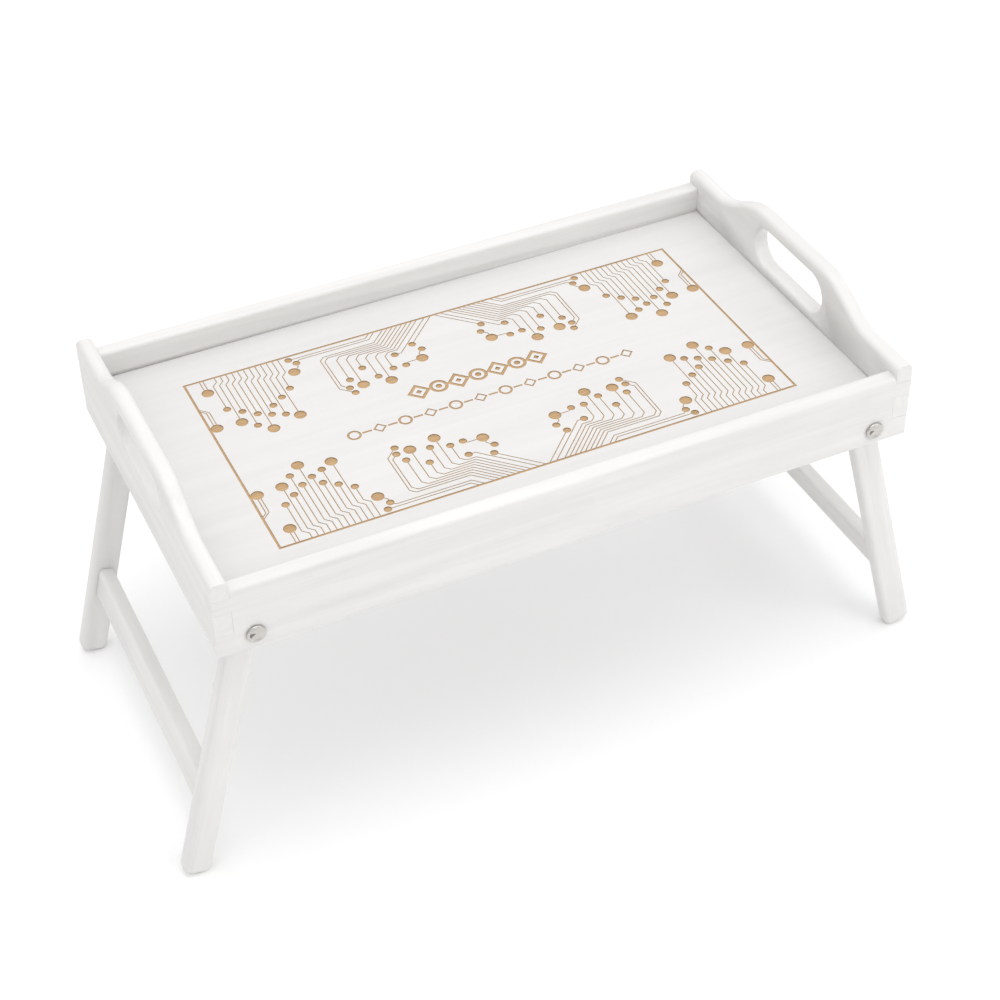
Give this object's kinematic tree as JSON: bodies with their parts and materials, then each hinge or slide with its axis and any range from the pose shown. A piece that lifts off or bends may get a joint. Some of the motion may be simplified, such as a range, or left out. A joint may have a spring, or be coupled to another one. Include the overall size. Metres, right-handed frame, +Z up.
{
  "type": "folding tray table",
  "caption": "Wooden bed tray with raised end boards, cut-out handles, an engraved floor and folding splayed legs.",
  "frame": {"origin": "on the ground under the middle of the tray, with the legs open", "axes": "+X along the tray's length, +Y across it from the front rail to the back rail, +Z up"},
  "size_m": [0.5776, 0.2844, 0.2854],
  "materials": {
    "painted_wood": "thin white paint, satin",
    "engraved_floor": "thin white paint, satin, with a tan engraved line pattern",
    "bare_wood": "unfinished",
    "nickel": "nickel plated, lightly satin"
  },
  "bodies": {
    "tray": {"front_rail": "painted_wood", "back_rail": "painted_wood", "left_end_board": "painted_wood", "right_end_board": "painted_wood", "floor_panel": "engraved_floor", "front_left_pivot_screw": "nickel", "front_left_pivot_washer": "nickel", "front_left_sleeve_nut": "nickel", "back_left_pivot_screw": "nickel", "back_left_pivot_washer": "nickel", "back_left_sleeve_nut": "nickel", "front_right_pivot_screw": "nickel", "front_right_pivot_washer": "nickel", "front_right_sleeve_nut": "nickel", "back_right_pivot_screw": "nickel", "back_right_pivot_washer": "nickel", "back_right_sleeve_nut": "nickel"},
    "left_leg_frame": {"front_left_leg": "painted_wood", "back_left_leg": "painted_wood", "left_stretcher": "painted_wood", "front_left_upper_dowel": "bare_wood", "front_left_lower_dowel": "bare_wood", "back_left_upper_dowel": "bare_wood", "back_left_lower_dowel": "bare_wood"},
    "right_leg_frame": {"front_right_leg": "painted_wood", "back_right_leg": "painted_wood", "right_stretcher": "painted_wood", "front_right_upper_dowel": "bare_wood", "front_right_lower_dowel": "bare_wood", "back_right_upper_dowel": "bare_wood", "back_right_lower_dowel": "bare_wood"}
  },
  "joints": [
    {"name": "left_leg_fold", "type": "hinge", "parent": "tray", "child": "left_leg_frame", "pos_m": [-0.22418, 0, 0.21711], "axis": [0, -1, 0], "range_deg": [0, 104.6]},
    {"name": "right_leg_fold", "type": "hinge", "parent": "tray", "child": "right_leg_frame", "pos_m": [0.22418, 0, 0.21711], "axis": [0, 1, 0], "range_deg": [0, 104.6]}
  ]
}
